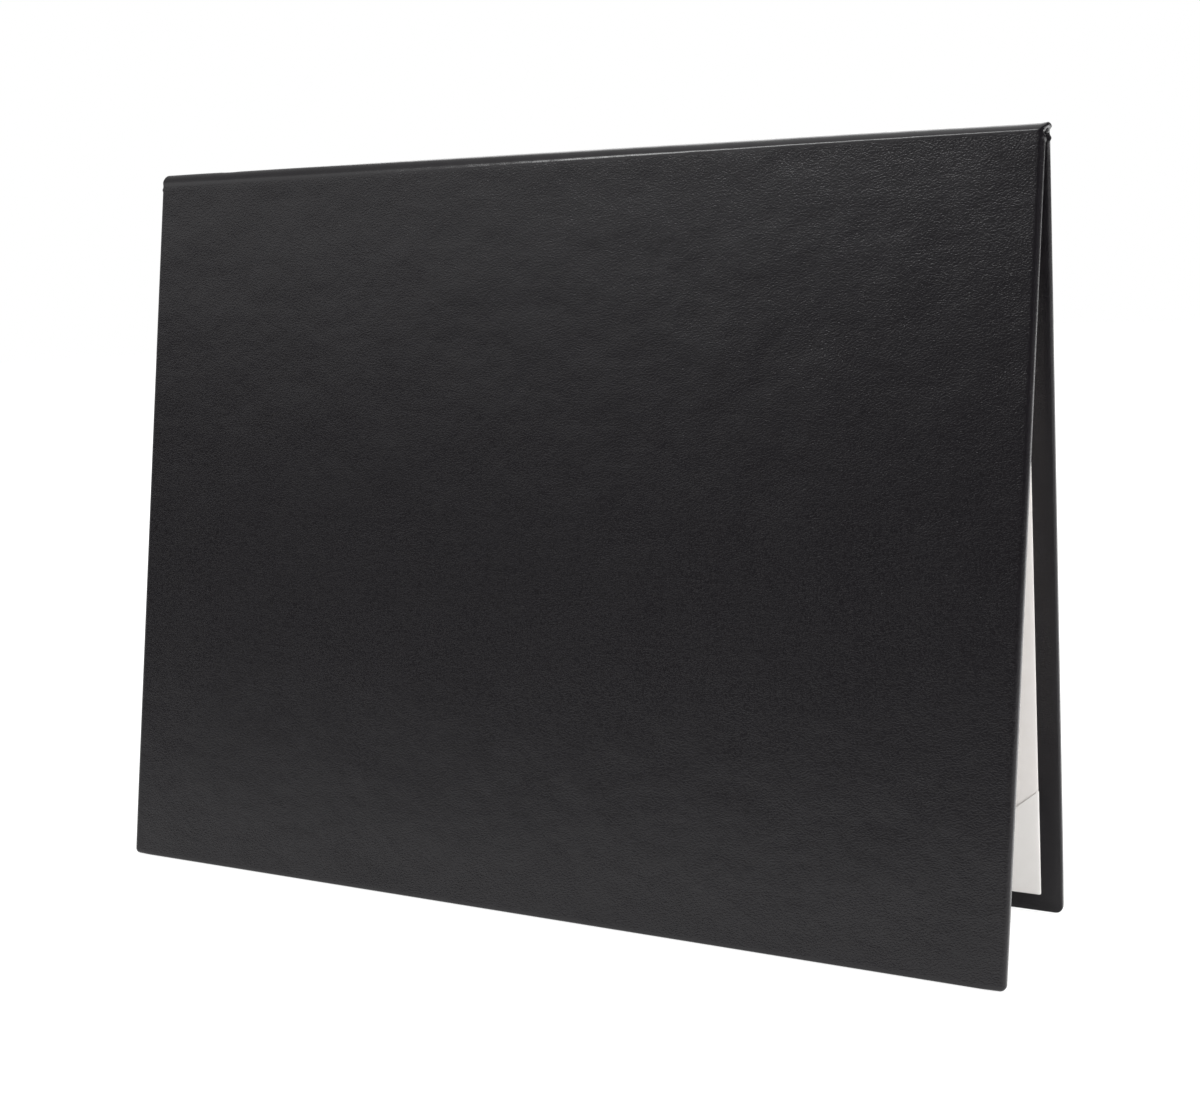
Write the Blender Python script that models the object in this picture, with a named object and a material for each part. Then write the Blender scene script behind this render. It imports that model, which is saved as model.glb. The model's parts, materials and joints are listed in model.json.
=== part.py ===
"""Document cover that stands as a tent: two boards wrapped in leatherette, hinged along the top.

Frame: +X runs along the fold, the front panel faces -Y, +Z is up. The origin is on the floor,
halfway between the feet of the two panels. All sizes are in metres and radians.

Each panel is modelled in its own frame, whose origin lies on the crease that the panel turns about:
+Y points into the cover, and -Z runs down the panel. An empty on each crease leans its panel.
"""

import math

import bmesh
import bpy
from mathutils import Matrix, Vector

# Overall sizes of one panel
PANEL_WIDTH = 0.2921
PANEL_HEIGHT = 0.2255
LEAN_ANGLE = math.radians(8.0)

# Sheets and boards
SKIN = 0.00045
BOARD = 0.00165
LINING = 0.0004
POCKET_PAPER = 0.0002

# Clearances
FIT_GAP = 0.00025
CREASE_GAP = 0.00025
DOCUMENT_GAP = 0.00025
CLOSED_GAP = 0.00025

# Leatherette turned over the edges of the boards and of the spine
SIDE_TURN_IN = 0.024
BOTTOM_TURN_IN = 0.040
HINGE_STRIP_HEIGHT = 0.022

# Rounding of the wrapped boards
FRONT_CORNER_RADIUS = 0.002
REAR_CORNER_RADIUS = 0.003
OUTER_EDGE_RADIUS = 0.0016
INNER_EDGE_RADIUS = 0.0006

# Rise of the spine's arch over the two creases
SPINE_RISE = 0.0022

# Leatherette left showing round the linings
SIDE_MARGIN = 0.0054
BOTTOM_MARGIN = 0.0057
TOP_MARGIN = 0.0030

# Paper pockets on the document side
POCKET_ACROSS = 0.036
POCKET_UP = 0.033
POCKET_FLAP = 0.012

# Facets of the round parts
CORNER_STEPS = 6
EDGE_STEPS = 4
SPINE_STEPS = 24

# How far a cutter runs past what it cuts
OVERRUN = 0.004

# Places across a panel's thickness, measured inwards from the crease
PANEL_THICKNESS = 2 * SKIN + 2 * FIT_GAP + BOARD
OUTER_FACE = -SKIN / 2
INNER_FACE = OUTER_FACE + PANEL_THICKNESS
BOARD_OUTER = OUTER_FACE + SKIN + FIT_GAP
BOARD_INNER = BOARD_OUTER + BOARD
FRONT_LINING_BACK = INNER_FACE + FIT_GAP
FRONT_LINING_FACE = FRONT_LINING_BACK + LINING
POCKET_BACK = INNER_FACE + FIT_GAP
REAR_LINING_BACK = POCKET_BACK + POCKET_PAPER + FIT_GAP
REAR_LINING_FACE = REAR_LINING_BACK + LINING
POCKET_FACE = REAR_LINING_FACE + DOCUMENT_GAP + POCKET_PAPER

# The creases stand as far apart as the closed cover is thick between them
CREASE_SPAN = FRONT_LINING_FACE + POCKET_FACE + CLOSED_GAP

# Height of the creases: the inner bottom edge of each leaning panel rests on the floor
FOOT_DROP = (PANEL_HEIGHT - INNER_EDGE_RADIUS) * math.cos(LEAN_ANGLE)
FOOT_REACH = (INNER_FACE - INNER_EDGE_RADIUS) * math.sin(LEAN_ANGLE)
CREASE_HEIGHT = FOOT_DROP + FOOT_REACH + INNER_EDGE_RADIUS

# The spine's arch, as a circle through both creases
ARCH_RADIUS = (CREASE_SPAN ** 2 / 4 + SPINE_RISE ** 2) / (2 * SPINE_RISE)
ARCH_CENTRE_DROP = ARCH_RADIUS - SPINE_RISE
ARCH_HALF_ANGLE = math.asin(CREASE_SPAN / 2 / ARCH_RADIUS) - CREASE_GAP / ARCH_RADIUS
ARCH_OUTER = ARCH_RADIUS + SKIN / 2
ARCH_INNER = ARCH_RADIUS - SKIN / 2
FOLD_OUTER = ARCH_INNER - FIT_GAP
FOLD_INNER = FOLD_OUTER - SKIN

# The lining sheets
LINING_WIDTH = PANEL_WIDTH - 2 * SIDE_MARGIN
LINING_BOTTOM = PANEL_HEIGHT - BOTTOM_MARGIN

LEATHERETTE = ((0.016, 0.016, 0.0175), 0.42)
GREYBOARD = ((0.33, 0.30, 0.26), 0.9)
LINING_PAPER = ((0.78, 0.75, 0.73), 0.75)
POCKET_WHITE = ((0.80, 0.78, 0.76), 0.7)


def clear_scene():
    """Remove every object that is in the scene."""
    for item in list(bpy.data.objects):
        bpy.data.objects.remove(item, do_unlink=True)


def finish_of(name, look):
    """Return a Principled material with the colour and roughness of a look."""
    colour, roughness = look
    material = bpy.data.materials.new(name)
    material.use_nodes = True
    shader = material.node_tree.nodes["Principled BSDF"]
    shader.inputs["Base Color"].default_value = (*colour, 1.0)
    shader.inputs["Roughness"].default_value = roughness
    shader.inputs["Metallic"].default_value = 0.0
    material.diffuse_color = (*colour, 1.0)
    return material


def place(name, mesh_data, parent, look=None):
    """Link a bmesh into the scene as a named object on its parent, and shade its round faces smooth."""
    mesh = bpy.data.meshes.new(name)
    bmesh.ops.recalc_face_normals(mesh_data, faces=mesh_data.faces)
    mesh_data.to_mesh(mesh)
    mesh_data.free()
    mesh.shade_smooth()
    mesh.set_sharp_from_angle(angle=math.radians(30))
    item = bpy.data.objects.new(name, mesh)
    bpy.context.collection.objects.link(item)
    item.parent = parent
    if look:
        mesh.materials.append(finish_of(name, look))
    return item


def axis_empty(name, location, rotation):
    """Add the empty that carries the pieces of one body."""
    empty = bpy.data.objects.new(name, None)
    empty.location = location
    empty.rotation_euler = rotation
    bpy.context.collection.objects.link(empty)
    return empty


def block(low, high):
    """Return a bmesh box between two corners."""
    mesh_data = bmesh.new()
    bmesh.ops.create_cube(mesh_data, size=1.0)
    low, high = Vector(low), Vector(high)
    centre = (low + high) / 2
    size = high - low
    bmesh.ops.transform(
        mesh_data,
        matrix=Matrix.Translation(centre) @ Matrix.Diagonal((*size, 1.0)),
        verts=mesh_data.verts,
    )
    return mesh_data


def edges_where(mesh_data, test):
    """Return the edges whose two ends both pass a test."""
    return [edge for edge in mesh_data.edges if all(test(vert.co) for vert in edge.verts)]


def bevel(mesh_data, edges, radius, steps):
    """Round a set of edges, unless the radius has shrunk away."""
    if radius > FIT_GAP / 10:
        bmesh.ops.bevel(
            mesh_data, geom=edges, offset=radius, offset_type="OFFSET",
            segments=steps, profile=0.5, affect="EDGES", clamp_overlap=True,
        )


def slab(width, top, bottom, outer, inner, corner, outer_round, inner_round):
    """Return a panel-shaped block: rounded lower corners and rounded rims, with a square top."""
    mesh_data = block((-width / 2, outer, -bottom), (width / 2, inner, -top))
    near = FIT_GAP / 10
    corners = edges_where(mesh_data, lambda co: co.z < -bottom + near)
    corners = [edge for edge in corners if abs(edge.verts[0].co.y - edge.verts[1].co.y) > near]
    bevel(mesh_data, corners, corner, CORNER_STEPS)
    for side, radius in ((outer, outer_round), (inner, inner_round)):
        rim = edges_where(mesh_data, lambda co, side=side: abs(co.y - side) < near)
        rim = [edge for edge in rim if any(vert.co.z < -top - near for vert in edge.verts)]
        bevel(mesh_data, rim, radius, EDGE_STEPS)
    return mesh_data


def cut(target, cutter):
    """Cut one object away from another with a live modifier, and keep the cutter out of sight."""
    cutter.hide_render = True
    cutter.display_type = "WIRE"
    modifier = target.modifiers.new(cutter.name, "BOOLEAN")
    modifier.operation = "DIFFERENCE"
    modifier.solver = "EXACT"
    modifier.object = cutter


def ring_point(radius, angle):
    """Return a point of the arch's section, in the spine's frame, at an angle from straight up."""
    return Vector((0.0, radius * math.sin(angle), radius * math.cos(angle) - ARCH_CENTRE_DROP))


def arch(section, half_angle):
    """Spin a closed section, given as (x, radius) points, over the arch and cap both ends."""
    mesh_data = bmesh.new()
    verts = []
    for across, radius in section:
        point = ring_point(radius, -half_angle)
        verts.append(mesh_data.verts.new((across, point.y, point.z)))
    first = mesh_data.faces.new(verts)
    spun = bmesh.ops.spin(
        mesh_data, geom=[first, *first.edges, *verts], cent=(0.0, 0.0, -ARCH_CENTRE_DROP),
        axis=(1.0, 0.0, 0.0), angle=-2 * half_angle, steps=SPINE_STEPS, use_duplicate=False,
    )
    if not spun["geom_last"]:
        raise RuntimeError("the arch was not spun")
    return mesh_data


def panel_cover(side, corner, parent):
    """Make the leatherette of one panel: its face, its wrapped edges and its turned-in borders."""
    body = slab(
        PANEL_WIDTH, CREASE_GAP, PANEL_HEIGHT, OUTER_FACE, INNER_FACE,
        corner, OUTER_EDGE_RADIUS, INNER_EDGE_RADIUS,
    )
    cover = place(f"{side}_cover", body, parent, LEATHERETTE)
    hollow = slab(
        PANEL_WIDTH - 2 * SKIN, CREASE_GAP - OVERRUN, PANEL_HEIGHT - SKIN,
        OUTER_FACE + SKIN, INNER_FACE - SKIN,
        corner - SKIN, OUTER_EDGE_RADIUS - SKIN, INNER_EDGE_RADIUS - SKIN,
    )
    cut(cover, place(f"{side}_cover_hollow", hollow, parent))
    window_half = PANEL_WIDTH / 2 - SIDE_TURN_IN
    window = block(
        (-window_half, BOARD_INNER, -PANEL_HEIGHT + BOTTOM_TURN_IN),
        (window_half, INNER_FACE + OVERRUN, OVERRUN),
    )
    cut(cover, place(f"{side}_cover_window", window, parent))
    return cover


def panel_board(side, corner, parent):
    """Make the board that the leatherette is wrapped round."""
    inset = SKIN + FIT_GAP
    body = slab(
        PANEL_WIDTH - 2 * inset, CREASE_GAP, PANEL_HEIGHT - inset, BOARD_OUTER, BOARD_INNER,
        corner - inset, OUTER_EDGE_RADIUS - inset, INNER_EDGE_RADIUS - inset,
    )
    return place(f"{side}_board", body, parent, GREYBOARD)


def panel_hinge_strip(side, parent):
    """Make the stretch of the inner hinge strip that is glued on one board, between the turn-ins."""
    half = PANEL_WIDTH / 2 - SIDE_TURN_IN - FIT_GAP
    body = block(
        (-half, BOARD_INNER + FIT_GAP, -HINGE_STRIP_HEIGHT),
        (half, INNER_FACE, -CREASE_GAP),
    )
    return place(f"{side}_hinge_strip", body, parent, LEATHERETTE)


def panel_lining(side, back, face, parent):
    """Make the white lining sheet of one panel."""
    body = block((-LINING_WIDTH / 2, back, -LINING_BOTTOM), (LINING_WIDTH / 2, face, -TOP_MARGIN))
    return place(f"{side}_lining", body, parent, LINING_PAPER)


def corner_prism(corner, across, up, back, face):
    """Return a three-sided prism with its right angle at a corner and its legs along the edges."""
    mesh_data = bmesh.new()
    points = (
        (corner.x, corner.z),
        (corner.x + across, corner.z),
        (corner.x, corner.z + up),
    )
    ring = [mesh_data.verts.new((x, back, z)) for x, z in points]
    bottom = mesh_data.faces.new(ring)
    raised = bmesh.ops.extrude_face_region(mesh_data, geom=[bottom], use_keep_orig=True)
    lifted = [item for item in raised["geom"] if isinstance(item, bmesh.types.BMVert)]
    bmesh.ops.translate(mesh_data, vec=(0.0, face - back, 0.0), verts=lifted)
    return mesh_data


def corner_box(corner, inset, reach, turn, back, face):
    """Return a box that starts inset from a corner and reaches inwards along both edges."""
    starts = Vector((corner.x + turn.x * inset, 0.0, corner.z + turn.z * inset))
    ends = Vector((corner.x + turn.x * reach.x, 0.0, corner.z + turn.z * reach.z))
    low = (min(starts.x, ends.x), back, min(starts.z, ends.z))
    high = (max(starts.x, ends.x), face, max(starts.z, ends.z))
    return block(low, high)


def corner_pocket(name, turn, parent):
    """Make one triangular paper pocket, folded round a corner of the document lining.

    turn holds the inward direction along each edge, as -1 or 1 in x and z.
    """
    outset = FIT_GAP + POCKET_PAPER
    edge_z = -LINING_BOTTOM if turn.z > 0 else -TOP_MARGIN
    corner = Vector((-turn.x * (LINING_WIDTH / 2 + outset), 0.0, edge_z - turn.z * outset))
    body = corner_prism(corner, turn.x * POCKET_ACROSS, turn.z * POCKET_UP, POCKET_BACK, POCKET_FACE)
    pocket = place(name, body, parent, POCKET_WHITE)
    reach = Vector((POCKET_ACROSS + OVERRUN, 0.0, POCKET_UP + OVERRUN))
    slot = corner_box(
        corner, POCKET_PAPER, reach, turn,
        POCKET_BACK + POCKET_PAPER, POCKET_FACE - POCKET_PAPER,
    )
    cut(pocket, place(f"{name}_slot", slot, parent))
    behind = corner_box(corner, POCKET_FLAP, reach, turn, POCKET_BACK - OVERRUN, REAR_LINING_BACK)
    cut(pocket, place(f"{name}_behind", behind, parent))
    return pocket


def spine_cover(parent):
    """Make the arched leatherette between the creases, with both of its ends turned in."""
    end = PANEL_WIDTH / 2
    turned = end - SIDE_TURN_IN
    fold = end - SKIN
    section = [
        (-end, ARCH_OUTER),
        (end, ARCH_OUTER),
        (end, FOLD_INNER),
        (turned, FOLD_INNER),
        (turned, FOLD_OUTER),
        (fold, FOLD_OUTER),
        (fold, ARCH_INNER),
        (-fold, ARCH_INNER),
        (-fold, FOLD_OUTER),
        (-turned, FOLD_OUTER),
        (-turned, FOLD_INNER),
        (-end, FOLD_INNER),
    ]
    cover = place("spine_cover", arch(section, ARCH_HALF_ANGLE), parent, LEATHERETTE)
    trim_half = ring_point((ARCH_INNER + FOLD_OUTER) / 2, ARCH_HALF_ANGLE).y
    trim = block(
        (-end - OVERRUN, -trim_half, -ARCH_CENTRE_DROP),
        (end + OVERRUN, trim_half, CREASE_GAP / 2),
    )
    cut(cover, place("spine_cover_trim", trim, parent))
    return cover


def spine_hinge_strip(parent):
    """Make the stretch of the inner hinge strip that lines the arch, between the turned-in ends."""
    half = PANEL_WIDTH / 2 - SIDE_TURN_IN - FIT_GAP
    section = [(-half, FOLD_OUTER), (half, FOLD_OUTER), (half, FOLD_INNER), (-half, FOLD_INNER)]
    half_angle = math.acos((ARCH_CENTRE_DROP + CREASE_GAP / 2) / FOLD_INNER)
    return place("spine_hinge_strip", arch(section, half_angle), parent, LEATHERETTE)


def build_panel(side, corner, lining_back, lining_face, parent):
    """Make the pieces that both panels have."""
    panel_cover(side, corner, parent)
    panel_board(side, corner, parent)
    panel_hinge_strip(side, parent)
    panel_lining(side, lining_back, lining_face, parent)


def build():
    """Make the whole cover."""
    clear_scene()
    half_span = CREASE_SPAN / 2
    spine = axis_empty("spine_frame", (0.0, 0.0, CREASE_HEIGHT), (0.0, 0.0, 0.0))
    front = axis_empty("front_crease", (0.0, -half_span, CREASE_HEIGHT), (-LEAN_ANGLE, 0.0, 0.0))
    rear = axis_empty("rear_crease", (0.0, half_span, CREASE_HEIGHT), (-LEAN_ANGLE, 0.0, math.pi))
    bpy.context.view_layer.update()

    spine_cover(spine)
    spine_hinge_strip(spine)
    build_panel("front", FRONT_CORNER_RADIUS, FRONT_LINING_BACK, FRONT_LINING_FACE, front)
    build_panel("rear", REAR_CORNER_RADIUS, REAR_LINING_BACK, REAR_LINING_FACE, rear)

    # The rear frame is turned half round, so its -X side is the reader's right
    for height, up in (("upper", -1.0), ("lower", 1.0)):
        for hand, inwards in (("left", -1.0), ("right", 1.0)):
            corner_pocket(f"pocket_{height}_{hand}", Vector((inwards, 0.0, up)), rear)
    bpy.context.view_layer.update()


build()
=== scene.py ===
"""A leatherette document cover that stands as a tent, dressed over its CAD frame."""

import json
import logging
import math
from collections.abc import Callable, Iterator
from contextlib import contextmanager
from dataclasses import dataclass, field
from enum import Enum

import bmesh
import bpy
import numpy as np
from mathutils import Matrix, Vector, noise

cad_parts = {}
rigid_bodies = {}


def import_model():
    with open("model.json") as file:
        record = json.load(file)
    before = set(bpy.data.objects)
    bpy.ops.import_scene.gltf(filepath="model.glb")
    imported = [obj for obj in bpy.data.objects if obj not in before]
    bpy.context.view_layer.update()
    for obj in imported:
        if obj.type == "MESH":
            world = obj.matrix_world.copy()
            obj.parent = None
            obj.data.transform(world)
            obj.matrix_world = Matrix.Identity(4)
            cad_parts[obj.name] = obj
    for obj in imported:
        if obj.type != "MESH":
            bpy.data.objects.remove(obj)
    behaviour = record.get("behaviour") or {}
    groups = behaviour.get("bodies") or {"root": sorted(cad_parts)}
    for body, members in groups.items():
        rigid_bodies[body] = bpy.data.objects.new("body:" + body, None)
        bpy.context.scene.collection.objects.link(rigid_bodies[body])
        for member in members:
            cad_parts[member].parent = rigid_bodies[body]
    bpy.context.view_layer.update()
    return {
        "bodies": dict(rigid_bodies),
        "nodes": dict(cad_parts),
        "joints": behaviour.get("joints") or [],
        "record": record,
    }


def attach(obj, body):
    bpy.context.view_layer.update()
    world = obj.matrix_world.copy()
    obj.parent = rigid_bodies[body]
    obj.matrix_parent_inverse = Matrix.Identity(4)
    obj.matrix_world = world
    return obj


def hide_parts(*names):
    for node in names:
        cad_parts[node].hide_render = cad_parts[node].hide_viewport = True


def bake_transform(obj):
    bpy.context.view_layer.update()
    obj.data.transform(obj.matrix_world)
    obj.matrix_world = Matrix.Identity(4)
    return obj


LOG = logging.getLogger("document_cover")
MM = 0.001
NEAR = 1e-6
FACING = 0.9

Piece = bpy.types.Object
Node = bpy.types.Node
Socket = bpy.types.NodeSocket
Material = bpy.types.Material
Tree = bpy.types.NodeTree
Pair = tuple[float, float]
Point = tuple[float, float, float]
Ramp = tuple[float, float, float, float]
Line = tuple[Pair, ...]


class Side(Enum):
    """The two panels of the cover."""

    FRONT = "front"
    REAR = "rear"


class Corner(Enum):
    """The four corners of the rear lining, as (name, sign of x, True where it is at the foot)."""

    UPPER_LEFT = ("pocket_upper_left", -1, False)
    UPPER_RIGHT = ("pocket_upper_right", 1, False)
    LOWER_LEFT = ("pocket_lower_left", -1, True)
    LOWER_RIGHT = ("pocket_lower_right", 1, True)


class Slot(Enum):
    """The material slots of the record."""

    LEATHERETTE = "leatherette"
    HINGE = "hinge_leatherette"
    GREYBOARD = "greyboard"
    LINING = "lining_paper"
    POCKET = "pocket_paper"


class MeshPart(Enum):
    """What can be selected in edit mode, with the name of its list in the mesh."""

    EDGE = "edges"
    FACE = "faces"


@dataclass(frozen=True)
class CoverSizes:
    """Sizes that all sub-assemblies share, in metres and radians.

    Depths are measured from the crease axis towards the inside of the cover.
    Heights on a panel are measured from the crease, so they are negative.
    """

    width: float = 292.9 * MM
    height: float = 225.5 * MM
    lean: float = math.radians(8.0)
    outer_face: float = -0.225 * MM
    inner_face: float = 2.825 * MM
    crease_span: float = 8.1 * MM
    crease_height: float = 223.621 * MM
    crown_radius: float = 4.9648 * MM
    bend_angle: float = math.radians(29.03)
    side_turn_in: float = 24.0 * MM
    bottom_turn_in: float = 40.0 * MM
    bend_reach: float = 0.5 * MM

    @property
    def half_width(self) -> float:
        """Half the width of the cover."""
        return self.width / 2

    def to_row(self, side: Side) -> Matrix:
        """Return the matrix that places a panel in the row's frame.

        Args:
            side: The panel to place.

        Returns:
            A turn by the lean and a move to the panel's crease.
        """
        at_crease = Matrix.Translation((0.0, -self.crease_span / 2, self.crease_height))
        placed = at_crease @ Matrix.Rotation(-self.lean, 4, "X")
        if side is Side.REAR:
            placed = Matrix.Rotation(math.pi, 4, "Z") @ placed
        return placed

    def fold_line(self, bend_steps: int, arch_steps: int) -> list[Point]:
        """Follow the outside of the fold from below the crease up to the middle of the crown.

        Args:
            bend_steps: How many steps the bend at the crease has.
            arch_steps: How many steps the arch has.

        Returns:
            For each step its depth, its height and its heading away from the panel's own direction.
        """
        end = math.pi / 2 - self.lean
        steps = [(2 * self.bend_reach / bend_steps, self.bend_angle / bend_steps)] * bend_steps
        turn = (end - self.bend_angle) / arch_steps
        steps += [(self.crown_radius * turn, turn)] * arch_steps
        depth, height, heading = self.outer_face, -self.bend_reach, 0.0
        line = []
        for length, turn in steps:
            chord = length * math.sin(turn / 2) / (turn / 2)
            depth += chord * math.sin(heading + turn / 2)
            height += chord * math.cos(heading + turn / 2)
            heading += turn
            line.append((depth, height, heading))
        return line


def smooth_step(value: np.ndarray, start: float, end: float) -> np.ndarray:
    """Return at each value a soft ramp that leaves 0 at start and reaches 1 at end."""
    share = np.clip((value - start) / (end - start), 0.0, 1.0)
    return share * share * (3.0 - 2.0 * share)


def waves(places: np.ndarray, length: float, seed: float) -> np.ndarray:
    """Return soft noise between about -1 and 1 at each place, moved along by a seed."""
    shift = Vector((seed, seed * 0.37, -seed * 0.61))
    return np.array([noise.noise(Vector(p) / length + shift) for p in places])


def goes_through(a: Vector, b: Vector) -> bool:
    """Say whether an edge runs straight through the thickness."""
    return abs(a.x - b.x) < NEAR and abs(a.z - b.z) < NEAR


def lies_at(a: Vector, b: Vector, depth: float) -> bool:
    """Say whether both ends of an edge lie at one depth."""
    return abs(a.y - depth) < NEAR and abs(b.y - depth) < NEAR


class Bench:
    """Blender's modelling operators, each called on exactly what it should change."""

    @staticmethod
    def clear_selection() -> None:
        """Leave edit mode and deselect everything."""
        if bpy.context.object and bpy.context.object.mode != "OBJECT":
            bpy.ops.object.mode_set(mode="OBJECT")
        bpy.ops.object.select_all(action="DESELECT")

    @classmethod
    def take(cls, piece: Piece) -> None:
        """Make a piece the only selected object."""
        cls.clear_selection()
        piece.select_set(True)
        bpy.context.view_layer.objects.active = piece

    @classmethod
    def block(cls, name: str, low: Point, high: Point) -> Piece:
        """Add a cuboid to start a piece from.

        Args:
            name: The piece's name.
            low: Its lowest corner.
            high: Its highest corner.

        Returns:
            The new object, at the origin with its place in its mesh.
        """
        cls.clear_selection()
        low, high = Vector(low), Vector(high)
        bpy.ops.mesh.primitive_cube_add(size=1.0, location=(low + high) / 2)
        piece = bpy.context.object
        piece.scale = high - low
        bpy.ops.object.transform_apply(location=True, rotation=True, scale=True)
        piece.name = piece.data.name = name
        return piece

    @classmethod
    def copy(cls, piece: Piece) -> Piece:
        """Copy a piece with a mesh of its own and return the copy."""
        cls.take(piece)
        bpy.ops.object.duplicate(linked=False)
        return bpy.context.object

    @classmethod
    @contextmanager
    def editing(cls, piece: Piece) -> Iterator[None]:
        """Work on a piece in edit mode."""
        cls.take(piece)
        bpy.ops.object.mode_set(mode="EDIT")
        bpy.ops.mesh.select_all(action="DESELECT")
        yield
        bpy.ops.object.mode_set(mode="OBJECT")

    @staticmethod
    def _pick(part: MeshPart, passes: Callable[[object], bool]) -> None:
        """Select the parts of the edited mesh that pass a test.

        Args:
            part: What is selected.
            passes: Takes one edge or face.
        """
        bpy.ops.mesh.select_mode(type=part.name)
        bpy.ops.mesh.select_all(action="DESELECT")
        mesh = bmesh.from_edit_mesh(bpy.context.object.data)
        mesh.normal_update()
        for found in getattr(mesh, part.value):
            if passes(found):
                found.select_set(True)
        bmesh.update_edit_mesh(bpy.context.object.data)

    @classmethod
    def pick_edges(cls, test: Callable[[Vector, Vector], bool]) -> None:
        """Select the edges whose two ends pass a test."""
        cls._pick(MeshPart.EDGE, lambda edge: test(edge.verts[0].co, edge.verts[1].co))

    @classmethod
    def drop_faces(cls, test: Callable[[Vector, Vector], bool]) -> None:
        """Delete the faces whose middle and normal pass a test."""
        cls._pick(MeshPart.FACE, lambda face: test(face.calc_center_median(), face.normal))
        bpy.ops.mesh.delete(type="FACE")

    @staticmethod
    def cut(place: Vector, normal: Vector, clear_front: bool = False) -> None:
        """Bisect the whole mesh with a plane, and clear what lies before it if told to."""
        bpy.ops.mesh.select_all(action="SELECT")
        bpy.ops.mesh.bisect(
            plane_co=place, plane_no=normal, clear_outer=clear_front, threshold=NEAR / 10
        )

    @classmethod
    def cut_rows(cls, axis: int, places: np.ndarray) -> None:
        """Cut the mesh across an axis, 0 for x and 2 for z, at each of several places."""
        normal = Vector([float(index == axis) for index in range(3)])
        for place in places:
            cls.cut(normal * place, normal)

    @staticmethod
    def round_edges(radius: float, segments: int) -> None:
        """Bevel the selected edges into rounds of a number of segments."""
        bpy.ops.mesh.bevel(offset=radius, segments=segments, profile=0.5, affect="EDGES")

    @staticmethod
    def extrude_row(move: Vector) -> None:
        """Extrude the selected edges along a vector."""
        bpy.ops.mesh.extrude_region_move(TRANSFORM_OT_translate={"value": tuple(move)})

    @staticmethod
    def turn_row(angle: float, centre: Vector) -> None:
        """Turn the selection about the x axis through a centre, from y towards z."""
        bpy.ops.transform.rotate(
            value=-angle, orient_axis="X", orient_type="GLOBAL", center_override=tuple(centre)
        )

    @staticmethod
    def widen_row(factor: float, centre: Vector) -> None:
        """Scale the selection along y about a centre."""
        bpy.ops.transform.resize(value=(1.0, factor, 1.0), center_override=tuple(centre))

    @staticmethod
    def face_outwards() -> None:
        """Turn all faces of the edited mesh outwards, or all one way where it is open."""
        bpy.ops.mesh.select_all(action="SELECT")
        bpy.ops.mesh.normals_make_consistent(inside=False)

    @classmethod
    def solidify(cls, piece: Piece, thickness: float) -> None:
        """Give a skin its thickness, inwards from the faces that it has.

        Args:
            piece: The skin.
            thickness: How thick it becomes.
        """
        cls.take(piece)
        wall = piece.modifiers.new("wall", "SOLIDIFY")
        wall.thickness = thickness
        wall.offset = -1.0
        wall.use_even_offset = True
        wall.use_quality_normals = True
        bpy.ops.object.modifier_apply(modifier=wall.name)

    @classmethod
    def place(cls, piece: Piece, matrix: Matrix) -> None:
        """Move a piece by a matrix and keep the result in its mesh."""
        cls.take(piece)
        piece.matrix_world = matrix
        bpy.ops.object.transform_apply(location=True, rotation=True, scale=True)

    @classmethod
    def smooth(cls, piece: Piece, angle: float = 40.0) -> None:
        """Shade a piece smooth, with edges sharper than an angle in degrees kept."""
        cls.take(piece)
        bpy.ops.object.shade_smooth_by_angle(angle=math.radians(angle))

    @staticmethod
    def places_of(piece: Piece) -> np.ndarray:
        """Return the places of a piece's vertices as rows of x, y and z."""
        places = np.empty(len(piece.data.vertices) * 3)
        piece.data.vertices.foreach_get("co", places)
        return places.reshape(-1, 3)

    @classmethod
    def sculpt(cls, piece: Piece, move: Callable[[np.ndarray], np.ndarray]) -> None:
        """Move a piece's vertices by a function that takes their places and gives new ones."""
        piece.data.vertices.foreach_set("co", move(cls.places_of(piece)).ravel())
        piece.data.update()


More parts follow.
